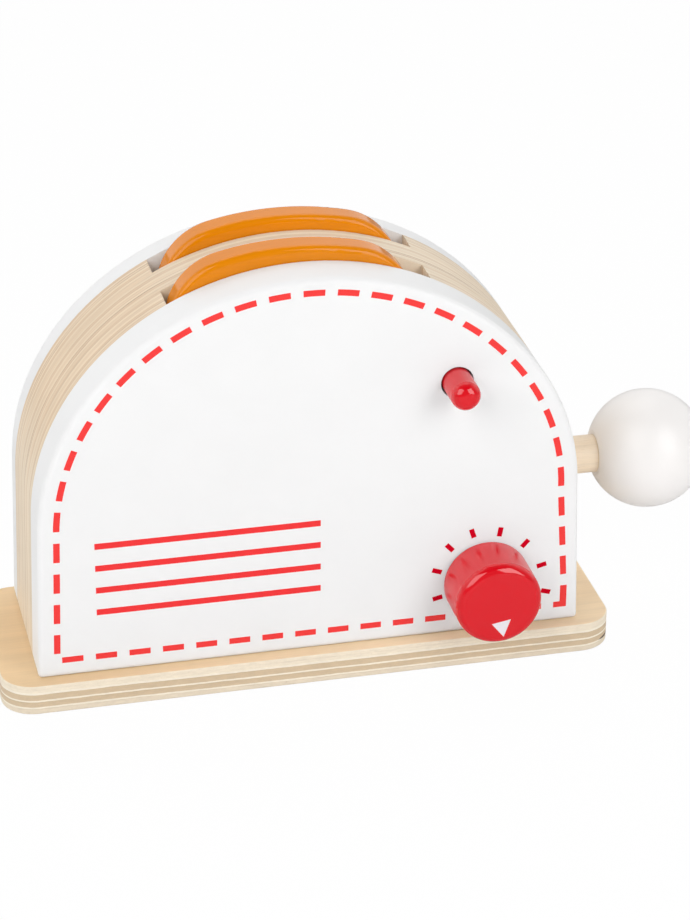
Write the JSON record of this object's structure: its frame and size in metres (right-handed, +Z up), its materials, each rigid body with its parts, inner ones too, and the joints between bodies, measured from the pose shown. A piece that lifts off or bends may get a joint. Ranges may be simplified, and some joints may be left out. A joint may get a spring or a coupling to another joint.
{
  "type": "toy toaster",
  "caption": "Wooden pop-up toy toaster with an arched plywood body, two slots with toast slices, a ball lever, a release button and a turning dial.",
  "frame": {"origin": "middle of the base board's flat underside", "axes": "+X to the lever on the toy's right side, +Y from the dial's face to the back, +Z up"},
  "size_m": [0.2485, 0.0823, 0.1483],
  "materials": {
    "plywood": "sanded birch plywood, clear matt lacquer",
    "white_paint": "satin white paint on the front and rear boards",
    "beech": "plain turned beech",
    "cream_paint": "satin off-white paint on a turned ball",
    "red_paint": "glossy red paint on turned wood",
    "toast_lacquer": "glossy golden-brown lacquer",
    "steel": "plain steel rod, wire and strip",
    "zinc_screw": "zinc-plated wood screws"
  },
  "bodies": {
    "body": {"base_board": "plywood", "front_panel": "white_paint", "front_slot_frame": "plywood", "divider": "plywood", "rear_slot_frame": "plywood", "rear_panel": "white_paint", "frame_dowels": "beech", "base_screws": "zinc_screw", "guide_rods": "steel", "latch_pin": "steel", "lift_springs": "steel", "button_spring": "steel", "latch_spring": "steel"},
    "lever": {"lever_ball": "cream_paint", "lever_dowel": "beech", "lift_block": "beech", "rest_pins": "beech", "catch_tab": "steel", "catch_screw": "zinc_screw"},
    "button": {"release_button": "red_paint"},
    "latch": {"latch_lever": "steel"},
    "dial": {"dial_knob": "red_paint", "dial_shaft": "beech", "dial_washer": "steel", "dial_screw": "zinc_screw"},
    "front_toast": {"front_slice": "toast_lacquer"},
    "rear_toast": {"rear_slice": "toast_lacquer"}
  },
  "joints": [
    {"name": "lever_slide", "type": "slide", "parent": "body", "child": "lever", "axis": [0, 0, 1], "range_m": [-0.028, 0], "stiffness_N_per_m": 110, "springref_m": 0.03, "deforming": ["lift_springs"]},
    {"name": "button_press", "type": "slide", "parent": "body", "child": "button", "axis": [0, 1, 0], "range_m": [0, 0.0045], "stiffness_N_per_m": 200, "springref_m": -0.003, "deforming": ["button_spring"]},
    {"name": "latch_swing", "type": "hinge", "parent": "body", "child": "latch", "pos_m": [0.0476, -0.00825, 0.0681], "axis": [-1, 0, 0], "range_deg": [0, 7.4], "deforming": ["latch_spring"]},
    {"name": "dial_turn", "type": "hinge", "parent": "body", "child": "dial", "pos_m": [0.059, -0.02975, 0.0292], "axis": [0, -1, 0], "continuous": true},
    {"name": "front_toast_lift", "type": "slide", "parent": "lever", "child": "front_toast", "axis": [0, 0, 1], "range_m": [0, 0.12]},
    {"name": "rear_toast_lift", "type": "slide", "parent": "lever", "child": "rear_toast", "axis": [0, 0, 1], "range_m": [0, 0.12]}
  ],
  "couplings": [
    {"joint": "latch_swing", "follows": "button_press", "rad_per_m": 28.49}
  ]
}
